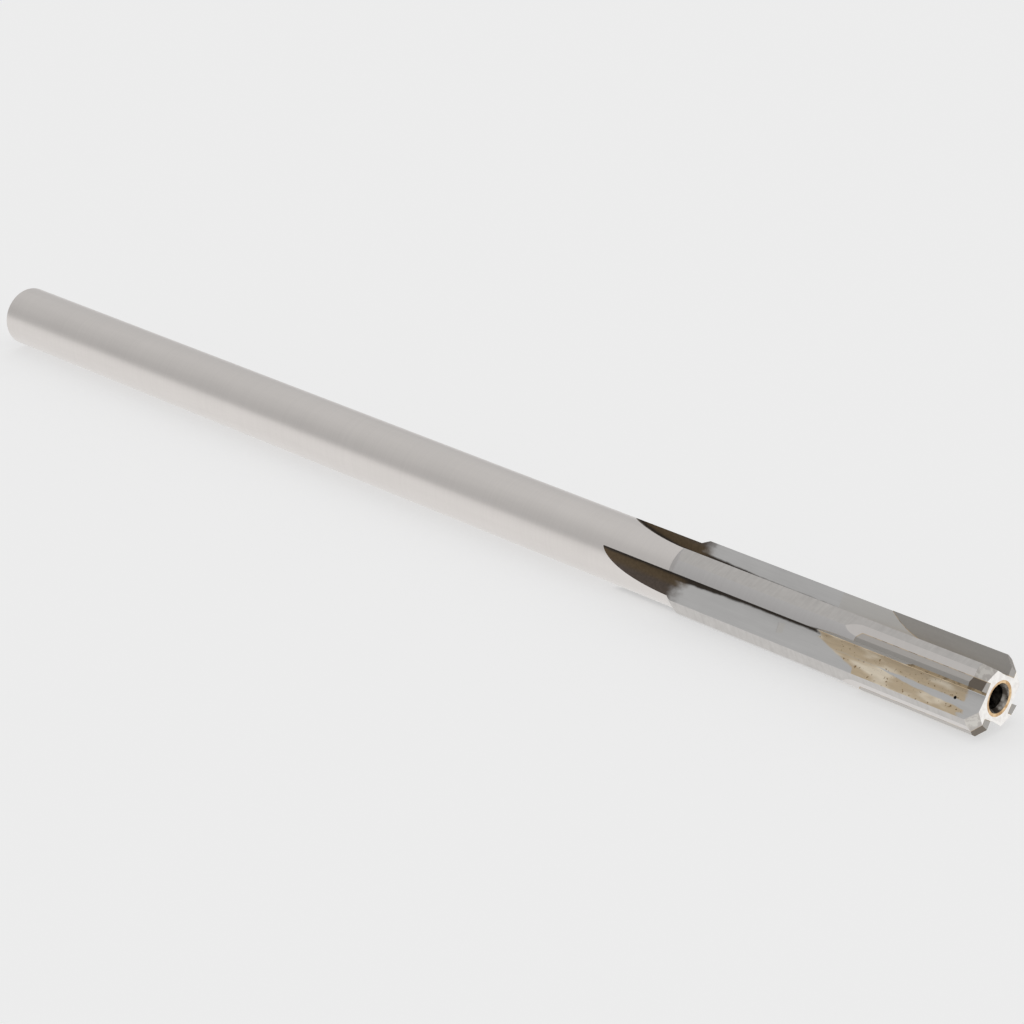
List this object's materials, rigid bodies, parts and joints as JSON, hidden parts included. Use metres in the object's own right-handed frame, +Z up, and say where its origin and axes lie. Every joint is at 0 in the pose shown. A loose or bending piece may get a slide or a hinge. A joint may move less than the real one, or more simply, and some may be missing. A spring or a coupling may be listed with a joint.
{
  "type": "machine reamer",
  "caption": "Straight-shank machine reamer with straight flutes, carbide tips brazed along its cutting end and a centre hole in each end face.",
  "frame": {"origin": "centre of the rear end face, on the tool's axis", "axes": "+X along the tool's axis from the shank to the cutting end; +Z up with the tool lying on its flutes and shank as it comes to rest"},
  "size_m": [0.1524, 0.0072, 0.0072],
  "materials": {
    "ground_steel": "ground along and across, brown heat tint in the flute run-outs",
    "carbide": "fine ground, darker than the steel",
    "braze": "dull pale gold"
  },
  "bodies": {
    "root": {"reamer_body": "ground_steel", "carbide_tip_1": "carbide", "braze_joint_1": "braze", "carbide_tip_2": "carbide", "braze_joint_2": "braze", "carbide_tip_3": "carbide", "braze_joint_3": "braze", "carbide_tip_4": "carbide", "braze_joint_4": "braze"}
  },
  "joints": []
}
